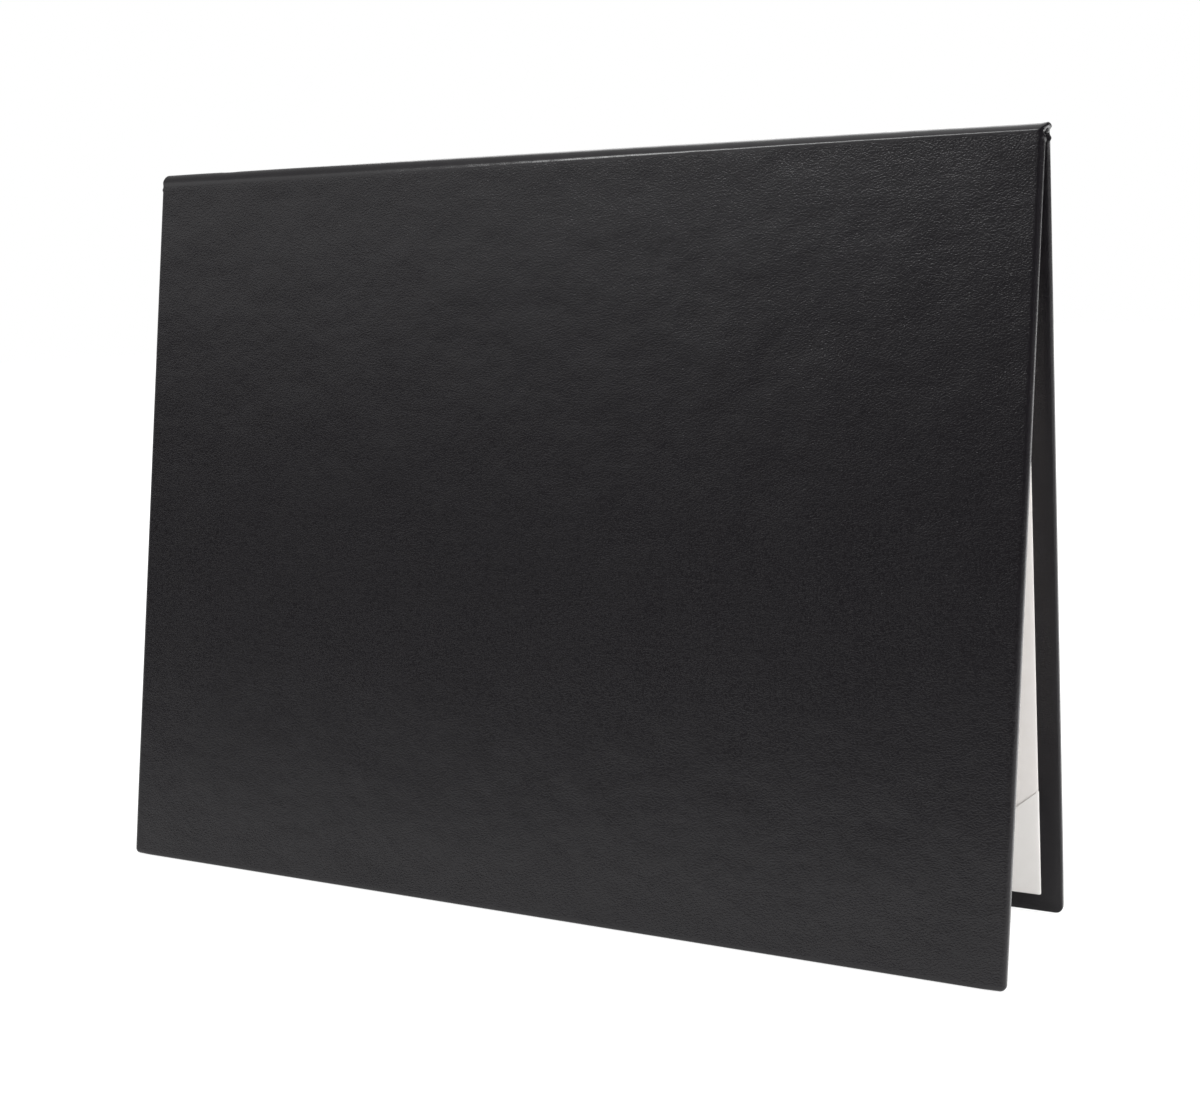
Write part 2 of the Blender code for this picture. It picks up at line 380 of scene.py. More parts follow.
@dataclass(frozen=True)
class Wiring:
    """A node tree with short calls to add nodes and links."""

    tree: Tree

    @classmethod
    def over(cls, owner: Material | bpy.types.World) -> "Wiring":
        """Start the wiring of a material or a world afresh."""
        owner.use_nodes = True
        owner.node_tree.nodes.clear()
        return cls(owner.node_tree)

    def add(self, kind: str, inputs: dict | None = None, **settings: object) -> Node:
        """Add a node, set it and feed it.

        Args:
            kind: The node's type.
            inputs: What goes into its sockets, by name or number.
            settings: Its properties by name.

        Returns:
            The new node.
        """
        node = self.tree.nodes.new(kind)
        for name, value in settings.items():
            setattr(node, name, value)
        for socket, source in (inputs or {}).items():
            self.feed(node, socket, source)
        return node

    def feed(self, node: Node, socket: str | int, source: object) -> None:
        """Link an output to a socket, or set the socket to a value.

        Args:
            node: The node to feed.
            socket: Its socket, by name or number.
            source: An output or a value.
        """
        if isinstance(source, Socket):
            self.tree.links.new(source, node.inputs[socket])
        else:
            node.inputs[socket].default_value = source

    def math(self, operation: str, *values: object) -> Socket:
        """Add a math node on up to three values and return its output."""
        node = self.add("ShaderNodeMath", dict(enumerate(values)), operation=operation)
        return node.outputs[0]

    def vector(self, operation: str, *values: object) -> Socket:
        """Add a vector math node on up to two vectors and return its output."""
        node = self.add("ShaderNodeVectorMath", dict(enumerate(values)), operation=operation)
        return node.outputs["Vector"]

    def apart(self, vector: Socket) -> tuple[Socket, Socket, Socket]:
        """Split a vector and return its x, y and z."""
        node = self.add("ShaderNodeSeparateXYZ", {"Vector": vector})
        return node.outputs["X"], node.outputs["Y"], node.outputs["Z"]

    def noise(self, place: Socket, scale: object, detail: float, **others: float) -> Node:
        """Add a noise texture with its other inputs by name, and return its node."""
        inputs = {"Vector": place, "Scale": scale, "Detail": detail, **others}
        return self.add("ShaderNodeTexNoise", inputs, noise_dimensions="3D")

    def ramp(self, value: object, start: float, end: float, low: object, high: object) -> Socket:
        """Map a value softly from one range to another.

        Args:
            value: What is mapped.
            start: Where the ramp begins.
            end: Where the ramp ends.
            low: What it gives at its start.
            high: What it gives at its end.

        Returns:
            The ramp's output.
        """
        names = ("Value", "From Min", "From Max", "To Min", "To Max")
        inputs = dict(zip(names, (value, start, end, low, high)))
        node = self.add("ShaderNodeMapRange", inputs, interpolation_type="SMOOTHSTEP")
        return node.outputs["Result"]

    def blend(self, share: object, first: Point, second: Point) -> Socket:
        """Mix two plain colours.

        Args:
            share: How much of the second one is in the mix.
            first: The first colour.
            second: The second colour.

        Returns:
            The mixed colour's output.
        """
        node = self.add("ShaderNodeMix", {"Factor": share}, data_type="RGBA")
        for name, colour in (("A", first), ("B", second)):
            target = next(s for s in node.inputs if s.name == name and s.type == "RGBA")
            target.default_value = (*colour, 1.0)
        return next(s for s in node.outputs if s.type == "RGBA")

    def group(self, tree: Tree, **inputs: object) -> Node:
        """Place a group, feed it by the names of its inputs and return its node."""
        return self.add("ShaderNodeGroup", inputs, node_tree=tree)

    def bump(self, height: Socket, depth: float, onto: Socket | None = None) -> Socket:
        """Add a bump.

        Args:
            height: Its height, as a share of its depth.
            depth: Its real depth in metres.
            onto: The normal that it lies on, if it is not the surface's own.

        Returns:
            The bumped normal.
        """
        inputs = {"Strength": 1.0, "Distance": depth, "Height": height}
        if onto is not None:
            inputs["Normal"] = onto
        return self.add("ShaderNodeBump", inputs).outputs["Normal"]

    def rays(self) -> tuple[Socket, Socket]:
        """Return 1 for the camera's own rays, and 1 for mirrored rays and those let through."""
        path = self.add("ShaderNodeLightPath").outputs
        mirrored = self.math("MAXIMUM", path["Is Glossy Ray"], path["Is Transmission Ray"])
        return path["Is Camera Ray"], mirrored


class PatternGroups:
    """The shader node groups that more than one finish uses, each built once."""

    GRAIN_STRETCH = (1.0, 1.4, 1.4)
    GRAIN_WARP = (1.3, 1.3, 1.3)
    GRAIN_DOME = (0.28, 0.72, 1.0, 0.0)
    GRAIN_FURROW = (0.35, 0.80, 0.0, 1.0)
    GRAIN_FINE = 0.3
    CLOUD_MASK = (0.36, 0.64, 0.0, 1.0)
    MOTTLE_SCALE = 0.16
    MOTTLE_MASK = (0.3, 0.7, 0.0, 1.0)

    def __init__(self) -> None:
        """Build every group."""
        self.pebble = self._pebble()
        self.clouds = self._clouds()
        self.fibre = self._fibre()

    @staticmethod
    def _start(name: str, sizes: dict[str, float], *masks: str) -> tuple[Wiring, Node, Node]:
        """Start a group that reads a vector and some sizes.

        Args:
            name: The group's name.
            sizes: The default of each size by its name.
            masks: The names of its outputs.

        Returns:
            The group's wiring, its input node and its output node.
        """
        tree = bpy.data.node_groups.new(name, "ShaderNodeTree")
        tree.interface.new_socket("Vector", in_out="INPUT", socket_type="NodeSocketVector")
        for label, default in sizes.items():
            socket = tree.interface.new_socket(label, in_out="INPUT", socket_type="NodeSocketFloat")
            socket.default_value = default
        for label in masks:
            tree.interface.new_socket(label, in_out="OUTPUT", socket_type="NodeSocketFloat")
        wiring = Wiring(tree)
        return wiring, wiring.add("NodeGroupInput"), wiring.add("NodeGroupOutput")

    def _pebble(self) -> Tree:
        """Build the pebbled grain of leatherette.

        Returns:
            A group that gives a height and a mask of its furrows.
        """
        sizes = {"Cell": 1.1 * MM, "Slant": 0.25}
        wiring, given, made = self._start("pebble_grain", sizes, "Height", "Furrow")
        around = {"Vector": given.outputs["Vector"], "Angle": given.outputs["Slant"]}
        turned = wiring.add("ShaderNodeVectorRotate", around, rotation_type="Y_AXIS")
        per_cell = wiring.math("DIVIDE", 1.0, given.outputs["Cell"])
        by_cell = {0: turned.outputs["Vector"], "Scale": per_cell}
        scaled = wiring.add("ShaderNodeVectorMath", by_cell, operation="SCALE")
        stretched = wiring.vector("MULTIPLY", scaled.outputs["Vector"], self.GRAIN_STRETCH)
        bend = wiring.noise(stretched, 0.55, 2.0, Roughness=0.6)
        offset = wiring.vector("SUBTRACT", bend.outputs["Color"], (0.5, 0.5, 0.5))
        offset = wiring.vector("MULTIPLY", offset, self.GRAIN_WARP)
        warped = wiring.vector("ADD", stretched, offset)
        packing = {"Vector": warped, "Scale": 1.0, "Smoothness": 0.35, "Randomness": 0.95}
        cells = wiring.add("ShaderNodeTexVoronoi", packing, feature="SMOOTH_F1")
        from_middle = cells.outputs["Distance"]
        dome = wiring.ramp(from_middle, *self.GRAIN_DOME)
        fine = wiring.noise(warped, 2.6, 3.0, Roughness=0.55).outputs["Fac"]
        wiring.feed(made, "Height", wiring.math("MULTIPLY_ADD", fine, self.GRAIN_FINE, dome))
        wiring.feed(made, "Furrow", wiring.ramp(from_middle, *self.GRAIN_FURROW))
        return wiring.tree

    def _clouds(self) -> Tree:
        """Build soft clouds of two sizes, as glue and handling leave on a glued sheet.

        Returns:
            A group that gives a height and a mask.
        """
        wiring, given, made = self._start("soft_clouds", {"Size": 20.0 * MM}, "Height", "Mask")
        per_size = wiring.math("DIVIDE", 1.0, given.outputs["Size"])
        layers = []
        for scale, detail in ((1.0, 0.6), (2.6, 1.0)):
            fineness = wiring.math("MULTIPLY", per_size, scale)
            cloud = wiring.noise(given.outputs["Vector"], fineness, detail)
            layers.append(cloud.outputs["Fac"])
        broad = wiring.math("MULTIPLY", layers[0], 0.7)
        mixed = wiring.math("MULTIPLY_ADD", layers[1], 0.3, broad)
        wiring.feed(made, "Height", mixed)
        wiring.feed(made, "Mask", wiring.ramp(mixed, *self.CLOUD_MASK))
        return wiring.tree

    def _fibre(self) -> Tree:
        """Build the faint tooth and mottle of uncoated paper or board.

        Returns:
            A group that gives a height and a mask of the mottle.
        """
        wiring, given, made = self._start("paper_fibre", {"Grain": 0.7 * MM}, "Height", "Mottle")
        place = given.outputs["Vector"]
        per_grain = wiring.math("DIVIDE", 1.0, given.outputs["Grain"])
        tooth = wiring.noise(place, per_grain, 4.0, Distortion=0.8)
        mottle = wiring.noise(place, wiring.math("MULTIPLY", per_grain, self.MOTTLE_SCALE), 5.0)
        wiring.feed(made, "Height", tooth.outputs["Fac"])
        wiring.feed(made, "Mottle", wiring.ramp(mottle.outputs["Fac"], *self.MOTTLE_MASK))
        return wiring.tree


@dataclass(frozen=True)
class Finish:
    """What all finishes share: a material with a Principled surface on Object coordinates."""

    name: str

    def material(self, groups: PatternGroups) -> Material:
        """Build the material.

        Args:
            groups: The pattern groups.

        Returns:
            The material.
        """
        made = bpy.data.materials.new(self.name)
        wiring = Wiring.over(made)
        surface = wiring.add("ShaderNodeBsdfPrincipled")
        wiring.add("ShaderNodeOutputMaterial", {"Surface": surface.outputs["BSDF"]})
        place = wiring.add("ShaderNodeTexCoord").outputs["Object"]
        for socket, source in self._surface(wiring, groups, place).items():
            wiring.feed(surface, socket, source)
        return made

    def _surface(self, wiring: Wiring, groups: PatternGroups, place: Socket) -> dict:
        """Wire the surface and return what each of its sockets takes."""
        raise NotImplementedError


@dataclass(frozen=True)
class LeatheretteFinish(Finish):
    """Black pebbled leatherette with a soft, slightly uneven gloss under a faint haze, its base
    colour darkened in the grain's furrows as painted shade.

    It is smoother where the piece's pressed attribute is 1.
    """

    colour: Point = (0.0074, 0.0064, 0.0079)
    # painted shade: the base colour in the grain's furrows is darker, standing in for the shade that
    # falls in them
    painted_furrow_shade: Point = (0.0064, 0.0055, 0.0068)
    cell: float = 0.62 * MM
    grain_depth: float = 0.028 * MM
    cloud_size: float = 16.0 * MM
    cloud_depth: float = 0.46 * MM
    roughness: float = 0.18
    roughness_spread: float = 0.03
    furrow_roughness: float = 0.05
    pressed_gloss: float = 0.03
    pressed_flat: float = 0.86
    ior: float = 1.5
    specular: float = 0.37
    haze: float = 0.235
    haze_roughness: float = 0.32

    def _surface(self, wiring: Wiring, groups: PatternGroups, place: Socket) -> dict:
        """Wire the surface.

        Args:
            wiring: The material's wiring.
            groups: The pattern groups.
            place: The Object coordinates.

        Returns:
            What each socket of the surface takes.
        """
        grain = wiring.group(groups.pebble, Vector=place, Cell=self.cell).outputs
        clouds = wiring.group(groups.clouds, Vector=place, Size=self.cloud_size).outputs
        pressed = wiring.add("ShaderNodeAttribute", attribute_name="pressed").outputs["Fac"]
        least = self.roughness - self.roughness_spread / 2
        rough = wiring.math("MULTIPLY_ADD", clouds["Mask"], self.roughness_spread, least)
        rough = wiring.math("MULTIPLY_ADD", grain["Furrow"], self.furrow_roughness, rough)
        relief = wiring.math("MULTIPLY_ADD", pressed, -self.pressed_flat, 1.0)
        height = wiring.math("MULTIPLY", grain["Height"], relief)
        swell = wiring.bump(clouds["Height"], self.cloud_depth)
        return {
            # painted shade: the base colour darkens towards the grain's furrows
            "Base Color": wiring.blend(grain["Furrow"], self.colour, self.painted_furrow_shade),
            "Roughness": wiring.math("MULTIPLY_ADD", pressed, -self.pressed_gloss, rough),
            "Normal": wiring.bump(height, self.grain_depth, swell),
            "IOR": self.ior,
            "Specular IOR Level": self.specular,
            "Coat Weight": self.haze,
            "Coat Roughness": self.haze_roughness,
        }


@dataclass(frozen=True)
class PaperFinish(Finish):
    """Matt paper or board with a faint tooth and mottle."""

    colour: Point
    shade: Point
    grain: float = 0.7 * MM
    tooth: float = 0.008 * MM
    roughness: float = 0.75
    roughness_spread: float = 0.12
    specular: float = 0.3

    def _surface(self, wiring: Wiring, groups: PatternGroups, place: Socket) -> dict:
        """Wire the surface.

        Args:
            wiring: The material's wiring.
            groups: The pattern groups.
            place: The Object coordinates.

        Returns:
            What each socket of the surface takes.
        """
        fibre = wiring.group(groups.fibre, Vector=place, Grain=self.grain).outputs
        least = self.roughness - self.roughness_spread / 2
        return {
            "Base Color": wiring.blend(fibre["Mottle"], self.colour, self.shade),
            "Roughness": wiring.math("MULTIPLY_ADD", fibre["Height"], self.roughness_spread, least),
            "Normal": wiring.bump(fibre["Height"], self.tooth),
            "Specular IOR Level": self.specular,
        }


@dataclass
class SubAssembly:
    """Pieces that are made and dressed together; the linings and pockets are also tied to the frame.
    """

    sizes: CoverSizes
    materials: dict[Slot, Material]

    def dress(self, piece: Piece, slot: Slot) -> None:
        """Give a piece its material and the record's slot."""
        piece.data.materials.clear()
        piece.data.materials.append(self.materials[slot])


@dataclass
class RollShape:
    """The crown of the fold: how high it stands along the cover, and its folded ends.

    Each pair of heights is a place along the cover in millimetres, and the share of the plain
    arch's height that the crown has there. A pair of other sizes is where a soft step begins
    and where it ends.
    """

    heights: Line = (
        (-146.5, 1.30), (-133.0, 1.30), (-124.0, 1.27), (-121.0, 1.20), (-117.0, 1.25),
        (-85.0, 1.22), (-54.0, 1.19), (-32.0, 1.15), (16.0, 1.07), (72.0, 0.95),
        (93.0, 0.93), (112.0, 0.885), (129.0, 0.81), (139.5, 0.80), (143.0, 0.78),
        (145.0, 0.82), (146.0, 0.92), (146.5, 0.90),
    )
    half_width: float = 146.45 * MM
    sink: float = 0.32 * MM
    sink_reach: float = 2.4 * MM
    sink_across: Pair = (-30 * MM, 105 * MM)
    left_square: float = 0.75
    square_height: Pair = (-0.6 * MM, 0.8 * MM)
    square_inset: Pair = (3 * MM, 1.5 * MM)
    left_ear: float = 0.15 * MM
    right_ear: float = 0.75 * MM
    ear_across: Pair = (143.2 * MM, 146.3 * MM)
    ear_height: Pair = (0.0, 1.2 * MM)

    def settle(self, places: np.ndarray, crease_height: float) -> np.ndarray:
        """Lower the arch over the creases to the height that it has at each place.

        Args:
            places: Rows of x, y and z in the row's frame.
            crease_height: The height of the crease axes.

        Returns:
            The moved rows.
        """
        across = places[:, 0].copy()
        share = np.interp(across / MM, *np.array(self.heights).T)
        from_crease = places[:, 2] - crease_height
        places[:, 2] += np.maximum(from_crease, 0.0) * (share - 1.0)
        near = np.clip(1.0 - np.abs(from_crease) / self.sink_reach, 0.0, 1.0)
        places[:, 2] -= self.sink * near**2 * (1.0 - smooth_step(across, *self.sink_across))
        inset = np.maximum(self.half_width - np.abs(across), 0.0)
        squeeze = self.left_square * smooth_step(from_crease, *self.square_height)
        squeeze *= smooth_step(inset, *self.square_inset)
        places[:, 0] -= np.where(across < 0, inset * squeeze, 0.0)
        out = np.where(across > 0, self.right_ear, self.left_ear)
        end = smooth_step(np.abs(across), *self.ear_across)
        end *= smooth_step(from_crease, *self.ear_height)
        places[:, 0] += np.sign(across) * out * end
        return places


@dataclass
class FoldHalf(SubAssembly):
    """A sheet that runs from one panel over its crease to the middle of the crown."""

    side: Side = Side.FRONT
    roll: RollShape = field(default_factory=RollShape)

    def complete(self, piece: Piece, skin: float, angle: float, slot: Slot, layer: str) -> None:
        """Bring the open sheet over the crown, dress it and hide the nodes that it stands for.

        Args:
            piece: The sheet, still without thickness and in the panel's frame.
            skin: How thick it becomes.
            angle: The least angle in degrees that stays an edge.
            slot: Which material it has.
            layer: How its nodes' names end. The front half stands for the spine's node too.
        """
        to_row = self.sizes.to_row(self.side)
        Bench.solidify(piece, skin)
        Bench.place(piece, to_row)
        Bench.sculpt(piece, lambda p: self.roll.settle(p, self.sizes.crease_height))
        Bench.smooth(piece, angle)
        self.dress(piece, slot)
        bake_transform(piece)
        parts = [self.side.value, "spine"] if self.side is Side.FRONT else [self.side.value]
        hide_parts(*(f"{part}_{layer}" for part in parts))


@dataclass
class LeatherHalf(FoldHalf):
    """One panel's leatherette, with its wrapped edges, its turn-ins and its half of the fold.

    A row of the neck is the height of its outer edge, and the depth and the height of its inner
    one, in millimetres. The pairs of tuck_line are a depth and a height in millimetres.
    """

    corner_radius: float = 1.6 * MM
    outer_edge_radius: float = 1.4 * MM
    foot_edge_radius: float = 0.8 * MM
    inner_edge_radius: float = 0.6 * MM
    skin: float = 0.22 * MM
    shoulder: float = 1.6 * MM
    grid: float = 4.0 * MM
    swell: float = 0.035 * MM
    foot_curve: float = 0.12 * MM
    neck: tuple[Point, ...] = ((-1.20, 2.825, -1.20), (-0.82, 2.80, -0.80))
    tuck_line: Line = (
        (2.711, -0.396), (2.714, -0.124), (2.801, 0.192), (3.009, 0.504), (3.278, 0.743),
        (3.608, 0.911), (3.948, 1.009),
    )
    tuck_fold: float = 0.35 * MM
    tuck_pit: float = 0.5 * MM
    pressed_from: Pair = (-1.3 * MM, -0.45 * MM)

    def make(self) -> Piece:
        """Build the piece and dress it.

        Returns:
            The finished piece.
        """
        piece = self._wrapped_slab()
        self._fold_over_crease(piece)
        Bench.sculpt(piece, self._settle_panel)
        self.complete(piece, self.skin, 35.0, Slot.LEATHERETTE, "cover")
        self._mark_pressed(piece)
        return piece

    def _wrapped_slab(self) -> Piece:
        """Make the wrapped part of the panel, open at the top and over the bare board inside.

        Returns:
            The skin, still without thickness.
        """
        s = self.sizes
        half, foot, top = s.half_width, -s.height, -self.shoulder
        low, high = (-half, s.outer_face, foot), (half, s.inner_face, top)
        piece = Bench.block(f"{self.side.value}_leather", low, high)
        with Bench.editing(piece):
            Bench.pick_edges(lambda a, b: goes_through(a, b) and a.z < foot + NEAR)
            Bench.round_edges(self.corner_radius, 7)
            Bench.drop_faces(lambda middle, normal: normal.z > FACING)
            for face, radius, segments in (
                (s.outer_face, self.outer_edge_radius, 6),
                (s.inner_face, self.inner_edge_radius, 4),
            ):
                Bench.pick_edges(
                    lambda a, b, face=face: lies_at(a, b, face) and min(a.z, b.z) <= top - NEAR
                )
                Bench.round_edges(radius, segments)
            across = half - s.side_turn_in
            up = foot + s.bottom_turn_in
            Bench.cut_rows(0, np.array([-across, across]))
            Bench.cut_rows(2, np.array([up]))
            Bench.drop_faces(
                lambda middle, normal: normal.y > FACING and abs(middle.x) < across and middle.z > up
            )
            margin = 1.2 * self.corner_radius
            columns = round((2 * half - 4 * self.corner_radius) / self.grid)
            Bench.cut_rows(0, np.linspace(margin - half, half - margin, columns))
            rows = round((s.height - 4 * self.corner_radius) / self.grid)
            Bench.cut_rows(2, np.linspace(foot + margin, top - 1.6 * MM, rows))
            Bench.cut_rows(2, top - np.array([0.35, 0.75, 1.15]) * MM)
        return piece

    def _rows_over_crease(self) -> list[tuple]:
        """Work out the rows of the fold, from the panel's top to the middle of the crown.

        Returns:
            For each row the places of the outer and the inner edge, in millimetres.
        """
        face = self.sizes.outer_face / MM
        rows = [((face, outer), (depth, height)) for outer, depth, height in self.neck]
        start = (face, -self.sizes.bend_reach / MM)
        over = [(depth / MM, height / MM) for depth, height, _ in self.sizes.fold_line(8, 26)]
        skin, tuck = np.array([start, *over]), np.array(self.tuck_line)
        steps = (np.hypot(*np.diff(line, axis=0).T) for line in (skin, tuck))
        along_skin, along_tuck = (np.concatenate(([0.0], np.cumsum(step))) for step in steps)
        share = along_skin / along_skin[-1] * along_tuck[-1]
        under = np.stack([np.interp(share, along_tuck, column) for column in tuck.T], axis=1)
        return rows + list(zip(skin, under))

    def _fold_over_crease(self, piece: Piece) -> None:
        """Bend the skin at the crease, roll it up and draw the turn-in across below it.

        Args:
            piece: The wrapped slab.
        """
        s = self.sizes
        with Bench.editing(piece):
            top = -self.shoulder
            Bench.pick_edges(lambda a, b: min(a.z, b.z) > top - NEAR)
            here = Vector((0, s.outer_face, top))
            slope, width = 0.0, s.inner_face - s.outer_face
            for outer, inner in self._rows_over_crease():
                there = Vector((0, outer[0] * MM, outer[1] * MM))
                across, along = (inner[0] - outer[0]) * MM, (inner[1] - outer[1]) * MM
                Bench.extrude_row(there - here)
                Bench.turn_row(-slope, there)
                Bench.widen_row(math.hypot(across, along) / width, there)
                slope, width = math.atan2(along, across), math.hypot(across, along)
                Bench.turn_row(slope, there)
                here = there

    def _mark_pressed(self, piece: Piece) -> None:
        """Note on each vertex how far the grain is pressed flat: wholly on the crease and the roll.

        Args:
            piece: The piece, in its place.
        """
        height = Bench.places_of(piece)[:, 2] - self.sizes.crease_height
        pressed = piece.data.attributes.new("pressed", "FLOAT", "POINT")
        pressed.data.foreach_set("value", smooth_step(height, *self.pressed_from))

    def _settle_panel(self, places: np.ndarray) -> np.ndarray:
        """Add the soft unevenness of a glued sheet, a tapered foot and the tuck at both ends.

        Args:
            places: Rows of x, y and z from the panel's crease.

        Returns:
            The moved rows.
        """
        s = self.sizes
        x, y, z = places.T.copy()
        seed = 3.1 if self.side is Side.FRONT else 17.7
        inside = smooth_step(s.half_width - np.abs(x), 2 * MM, 9 * MM)
        inside *= smooth_step(z + s.height, 2 * MM, 9 * MM) * smooth_step(-z, 2 * MM, 8 * MM)
        outer = (np.abs(y - s.outer_face) < 0.02 * MM) * (z < -1 * MM)
        swell = (waves(places, 23 * MM, seed) + 0.5 * waves(places, 9 * MM, seed + 5)) * self.swell
        places[:, 1] += np.where(outer, (swell + 1.2 * self.swell) * inside, 0.0)
        low = smooth_step(-(z + s.height), -30 * MM, 0.0) ** 2.2
        end = smooth_step(np.abs(x), s.half_width - 20 * MM, s.half_width)
        places[:, 0] -= np.sign(x) * low * end * self.foot_curve
        rim = smooth_step(np.abs(x), s.half_width - 1.3 * MM, s.half_width - 0.1 * MM)
        pit = np.exp(-(((z + 0.55 * MM) / (0.42 * MM)) ** 2)) * smooth_step(y, 0.2 * MM, 1.3 * MM)
        fold = np.exp(-(((z + 1.55 * MM + 0.33 * y) / (0.5 * MM)) ** 2))
        places[:, 0] += np.sign(x) * rim * (fold * self.tuck_fold - pit * self.tuck_pit)
        return self._sharpen_foot(places)

    def _sharpen_foot(self, places: np.ndarray) -> np.ndarray:
        """Draw the rounded outer edge closer to its corner along the foot.

        Args:
            places: Rows of x, y and z from the panel's crease.

        Returns:
            The moved rows.
        """
        s = self.sizes
        x, y, z = places.T.copy()
        radius, share = self.outer_edge_radius, self.foot_edge_radius / self.outer_edge_radius
        depth, up = y - s.outer_face, z + s.height
        straight = s.half_width - self.corner_radius
        rounded = (depth < radius - NEAR / 10) & (up < radius - NEAR / 10)
        rounded &= (depth + up > NEAR / 10) & (np.abs(x) < straight - NEAR)
        ease = smooth_step(straight - np.abs(x), 0.0, 3.0 * MM)
        scale = 1.0 + (share - 1.0) * ease
        places[:, 1] = np.where(rounded, s.outer_face + depth * scale, y)
        places[:, 2] = np.where(rounded, up * scale - s.height, z)
        return places


@dataclass
class HingeFold(FoldHalf):
    """Half of the strip that lines the inside of the fold, from one board to under the crown.

    The pairs of path are a depth and a height in millimetres, as the strip leaves the board.
    """

    half_width: float = 121.8 * MM
    reach_down: float = 22.0 * MM
    lift: float = 1.7 * MM
    skin: float = 0.30 * MM
    under: float = 0.58 * MM
    path: Line = (
        (2.825, -1.20), (2.82, -0.80), (2.76, -0.45), (2.62, -0.15), (2.40, 0.06), (2.12, 0.18),
        (1.82, 0.24), (1.54, 0.34), (1.32, 0.52), (1.20, 0.76), (1.20, 0.98),
    )
    arch_from: float = 0.78

    def make(self) -> Piece:
        """Build the strip and dress it.

        Returns:
            The finished piece.
        """
        depth, top = self.sizes.inner_face, -self.lift
        Bench.clear_selection()
        bpy.ops.mesh.primitive_grid_add(x_subdivisions=60, y_subdivisions=1, size=1.0)
        piece = bpy.context.object
        piece.name = piece.data.name = f"{self.side.value}_hinge_fold"
        to_middle = Matrix.Translation((0, depth, -(self.reach_down + self.lift) / 2))
        upright = Matrix.Rotation(-math.pi / 2, 4, "X")
        stretch = Matrix.Diagonal((2 * self.half_width, self.reach_down - self.lift, 1.0, 1.0))
        Bench.place(piece, to_middle @ upright @ stretch)
        with Bench.editing(piece):
            Bench.pick_edges(lambda a, b: min(a.z, b.z) > top - NEAR)
            here = Vector((0, depth, top))
            for there in self._line():
                Bench.extrude_row(there - here)
                here = there
            Bench.face_outwards()
        self.complete(piece, self.skin, 40.0, Slot.HINGE, "hinge_strip")
        return piece

    def _line(self) -> list[Vector]:
        """Work out the line that the strip follows from the board to the middle of the crown.

        Returns:
            Its points, from the panel's crease.
        """
        points = [Vector((0, depth * MM, height * MM)) for depth, height in self.path]
        for depth, height, heading in self.sizes.fold_line(4, 24):
            if heading > self.arch_from:
                inwards = Vector((0, math.cos(heading), -math.sin(heading)))
                points.append(Vector((0, depth, height)) + self.under * inwards)
        return points


@dataclass
class Lining(SubAssembly):
    """The white sheet on the inside of one panel."""

    side: Side = Side.FRONT
    half_width: float = 140.06 * MM
    top: float = -3.0 * MM
    bottom: float = -219.77 * MM
    back: float = 2.86 * MM
    face: float = 3.20 * MM
    edge_radius: float = 0.12 * MM
    corner_radius: float = 0.6 * MM
    rim: float = 1.5 * MM
    dip: float = 0.14 * MM
    dip_before: float = 0.4 * MM
    dip_after: float = 2.8 * MM
    unevenness: float = 0.03 * MM

    def make(self) -> Piece:
        """Build the sheet, dress it and tie it to the frame.

        Returns:
            The finished piece.
        """
        s = self.sizes
        low = (-self.half_width, self.back, self.bottom)
        high = (self.half_width, self.face, self.top)
        piece = Bench.block(f"{self.side.value}_lining_sheet", low, high)
        with Bench.editing(piece):
            Bench.pick_edges(goes_through)
            Bench.round_edges(self.corner_radius, 4)
            Bench.pick_edges(lambda a, b: lies_at(a, b, self.face))
            Bench.round_edges(self.edge_radius, 3)
            inner = self.half_width - self.rim
            Bench.cut_rows(0, np.linspace(-inner, inner, 57))
            Bench.cut_rows(2, np.linspace(self.bottom + self.rim, self.top - self.rim, 44))
            step = -s.height + s.bottom_turn_in
            Bench.cut_rows(2, step + np.array([0.6, 1.2, 1.8, 2.4, 3.0]) * MM)
            side_step = s.half_width - s.side_turn_in
            for sign in (-1, 1):
                Bench.cut_rows(0, sign * (side_step - np.array([0.6, 1.4, 2.2, 3.0]) * MM))
        Bench.sculpt(piece, self._press)
        Bench.place(piece, s.to_row(self.side))
        Bench.smooth(piece)
        self.dress(piece, Slot.LINING)
        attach(piece, f"{self.side.value}_panel")
        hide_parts(f"{self.side.value}_lining")
        return piece

    def _press(self, places: np.ndarray) -> np.ndarray:
        """Let the sheet sink where no turn-in lies behind it, and lie a little unevenly.

        Args:
            places: Rows of x, y and z from the panel's crease.

        Returns:
            The moved rows.
        """
        s = self.sizes
        x, z = places[:, 0], places[:, 2]
        foot, side = -s.height + s.bottom_turn_in, s.side_turn_in
        above = smooth_step(z, foot - self.dip_before, foot + self.dip_after)
        in_from_side = s.half_width - np.abs(x)
        between = smooth_step(in_from_side, side - self.dip_before, side + self.dip_after)
        below_top = smooth_step(-z, 20 * MM, 24 * MM)
        places[:, 1] -= self.dip * above * between * below_top
        inside = smooth_step(self.half_width - np.abs(x), 3 * MM, 20 * MM)
        places[:, 1] += waves(places, 45 * MM, 8.3) * self.unevenness * inside
        return places


